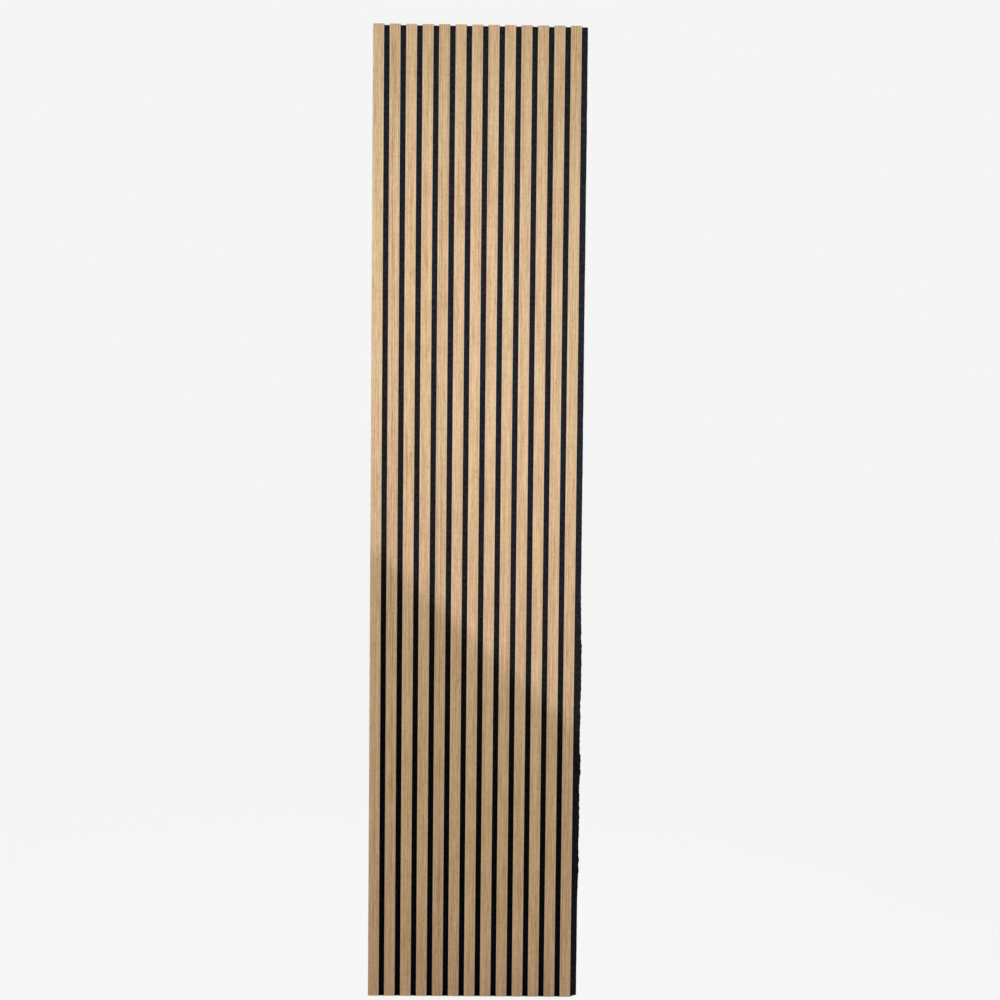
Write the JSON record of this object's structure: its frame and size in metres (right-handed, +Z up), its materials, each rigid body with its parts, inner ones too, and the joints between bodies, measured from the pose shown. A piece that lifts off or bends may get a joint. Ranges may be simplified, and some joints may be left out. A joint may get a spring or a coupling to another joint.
{
  "type": "acoustic slat wall panel",
  "caption": "Tall sound-absorbing wall panel: parallel oak-veneered slats with black sides on a black felt board, with a bare felt lip along one edge.",
  "frame": {"origin": "centre of the felt board's back face, in the wall plane", "axes": "+Z up along the slats, +Y into the wall, -Y the slatted front, +X towards the bare felt lip"},
  "size_m": [0.522, 0.021, 2.4],
  "materials": {
    "felt": "matt needle-punched polyester felt board",
    "dyed_fibreboard": "sawn black-dyed fibreboard, matt",
    "oak_veneer": "sanded and matt-lacquered oak veneer, grain along the slat",
    "staple_wire": "galvanised flat staple wire"
  },
  "bodies": {
    "root": {"felt_backing": "felt", "slat_core_01": "dyed_fibreboard", "slat_core_02": "dyed_fibreboard", "slat_core_03": "dyed_fibreboard", "slat_core_04": "dyed_fibreboard", "slat_core_05": "dyed_fibreboard", "slat_core_06": "dyed_fibreboard", "slat_core_07": "dyed_fibreboard", "slat_core_08": "dyed_fibreboard", "slat_core_09": "dyed_fibreboard", "slat_core_10": "dyed_fibreboard", "slat_core_11": "dyed_fibreboard", "slat_core_12": "dyed_fibreboard", "slat_core_13": "dyed_fibreboard", "veneer_face_01": "oak_veneer", "veneer_face_02": "oak_veneer", "veneer_face_03": "oak_veneer", "veneer_face_04": "oak_veneer", "veneer_face_05": "oak_veneer", "veneer_face_06": "oak_veneer", "veneer_face_07": "oak_veneer", "veneer_face_08": "oak_veneer", "veneer_face_09": "oak_veneer", "veneer_face_10": "oak_veneer", "veneer_face_11": "oak_veneer", "veneer_face_12": "oak_veneer", "veneer_face_13": "oak_veneer", "back_staples": "staple_wire"}
  },
  "joints": []
}
